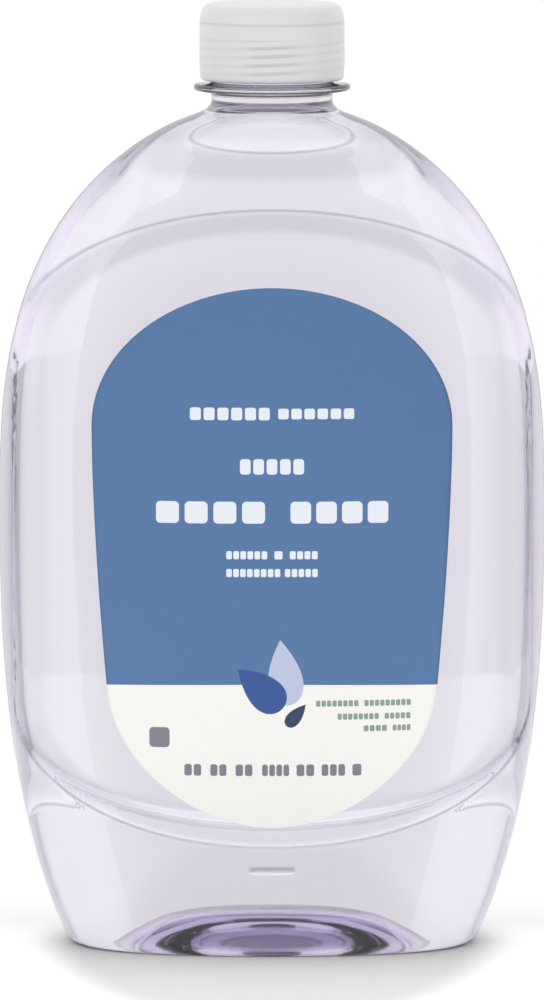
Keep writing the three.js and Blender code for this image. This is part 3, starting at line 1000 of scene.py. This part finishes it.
class REFILL_OT_labels(bpy.types.Operator):
    """Print and stick on the front and back labels"""

    bl_idname = "refill.labels"
    bl_label = "Labels"

    def execute(self, context):
        settings = context.scene.refill_label
        front = label_piece("front_label_film", FRONT_LOW.z, FRONT_HIGH.z, front_half_width, -1,
                            printed_film(settings), context)
        settle(front, "bottle", "front_label")
        back = label_piece("back_label_film", BACK_LOW.z, BACK_HIGH.z, back_half_width, 1,
                           plain_film(settings), context)
        settle(back, "bottle", "back_label")
        return {"FINISHED"}


class REFILL_OT_stage(bpy.types.Operator):
    """Set up the camera, the floor and the light"""

    bl_idname = "refill.stage"
    bl_label = "Stage"

    def execute(self, context):
        settings = context.scene.refill_stage
        scene = context.scene
        scene.view_settings.view_transform = "Standard"
        scene.cycles.max_bounces = 28
        scene.cycles.transmission_bounces = 28
        scene.cycles.glossy_bounces = 4
        scene.cycles.diffuse_bounces = 2
        self.camera(scene, settings)
        self.floor(settings)
        self.world(scene, settings)
        return {"FINISHED"}

    def camera(self, scene, settings):
        data = bpy.data.cameras.new("camera")
        camera = bpy.data.objects.new("camera", data)
        scene.collection.objects.link(camera)
        back = settings.distance * math.cos(settings.elevation)
        up = settings.distance * math.sin(settings.elevation)
        camera.location = (0, -back, settings.aim_height + up)
        camera.rotation_euler = (math.pi / 2 - settings.elevation, 0, 0)
        data.lens = data.sensor_width * settings.distance / settings.view_height
        data.clip_start, data.clip_end = 0.05, 60
        scene.camera = camera

    def floor(self, settings):
        bpy.ops.mesh.primitive_circle_add(
            vertices=128, radius=FLOOR_RADIUS, fill_type="NGON", location=(0, 0, 0))
        floor = bpy.context.object
        floor.name = "floor"
        n = new_material("floor_paper")
        x, y, _ = n.split()
        # The floor's emission is painted light: none close to the bottle's front and sides, leaving a painted
        # shadow there, a pool outside that oval, a patch under the foot and fill at the back.
        across, along = n.math("DIVIDE", x, POOL_HALF_WIDTH), n.math("DIVIDE", y, POOL_HALF_DEPTH)
        out = n.math("SQRT", n.math("MULTIPLY_ADD", across, across, n.math("MULTIPLY", along, along)))
        foot = round_reach(n, x, y)
        under = n.ramp(foot, FOOT_OUTER - 3 * MM, FOOT_OUTER + 1 * MM, settings.under, 0.0)
        near = n.math("ADD", n.ramp(out, 0.8, 1.05, 0.0, settings.pool), under)
        far = n.ramp(n.math("ABSOLUTE", x), 0.03, 0.12, settings.fill_behind, settings.fill)
        painted_floor_light = n.mix(n.ramp(y, 0.0, 0.04, 0.0, 1.0), near, far)
        shader = n.add("ShaderNodeBsdfPrincipled", {
            "Base Color": [0.93, 0.93, 0.93, 1],
            "Roughness": 0.9,
            "Specular IOR Level": 0.0,
            "Emission Color": [1, 1, 1, 1],
            "Emission Strength": painted_floor_light,
        })
        floor.data.materials.append(n.finish(shader))

    def world(self, scene, settings):
        scene.world = bpy.data.worlds.new("studio")
        n = Nodes(scene.world, "ShaderNodeOutputWorld")
        # Each wall of light fades into the next between two values of x, y or z of the direction.
        x, y, z = n.split("Generated")
        sideways = n.math("ABSOLUTE", x)
        middle = n.ramp(z, -0.28, -0.1, settings.backdrop_low, settings.backdrop_middle)
        side = n.ramp(z, -0.28, -0.1, settings.backdrop, settings.backdrop_high)
        behind = n.ramp(sideways, 0.12, 0.4, middle, side)
        around = n.ramp(y, -0.2, 0.4, settings.front, behind)
        flags = n.ramp(x, -0.5, 0.5, settings.left_flag, settings.right_flag)
        beside = n.ramp(n.math("ABSOLUTE", y), 0.15, 0.5, flags, around)
        level = n.ramp(sideways, 0.6, 0.85, around, beside)
        top = n.ramp(y, -0.4, 0.6, settings.above_front, settings.above)
        level = n.ramp(z, 0.35, 0.8, level, top)
        seen_by_camera = n.add("ShaderNodeLightPath").outputs["Is Camera Ray"]
        level = n.ramp(seen_by_camera, 0.0, 1.0, level, 1.0)
        n.finish(n.add("ShaderNodeBackground", {"Color": [1, 1, 1, 1], "Strength": level}))


class REFILL_PT_panel(bpy.types.Panel):
    """Lists the steps that build the refill bottle"""

    bl_idname = "REFILL_PT_panel"
    bl_label = "Soap Refill Bottle"
    bl_space_type = "VIEW_3D"
    bl_region_type = "UI"
    bl_category = "Refill"

    def draw(self, context):
        for operator in OPERATORS:
            self.layout.operator(operator.bl_idname)


SETTINGS = {
    "refill_bottle": RefillBottleSettings,
    "refill_soap": RefillSoapSettings,
    "refill_cap": RefillCapSettings,
    "refill_label": RefillLabelSettings,
    "refill_stage": RefillStageSettings,
}
OPERATORS = (
    REFILL_OT_stage,
    REFILL_OT_bottle,
    REFILL_OT_soap,
    REFILL_OT_cap,
    REFILL_OT_liner,
    REFILL_OT_labels,
)


def register():
    for cls in (*SETTINGS.values(), *OPERATORS, REFILL_PT_panel):
        bpy.utils.register_class(cls)
    for name, cls in SETTINGS.items():
        setattr(bpy.types.Scene, name, bpy.props.PointerProperty(type=cls))


def unregister():
    for name in SETTINGS:
        delattr(bpy.types.Scene, name)
    for cls in (REFILL_PT_panel, *OPERATORS, *SETTINGS.values()):
        bpy.utils.unregister_class(cls)


def main():
    register()
    bpy.ops.refill.stage()
    bpy.ops.refill.bottle()
    bpy.ops.refill.soap()
    bpy.ops.refill.cap()
    bpy.ops.refill.liner()
    bpy.ops.refill.labels()


if __name__ == "__main__":
    main()
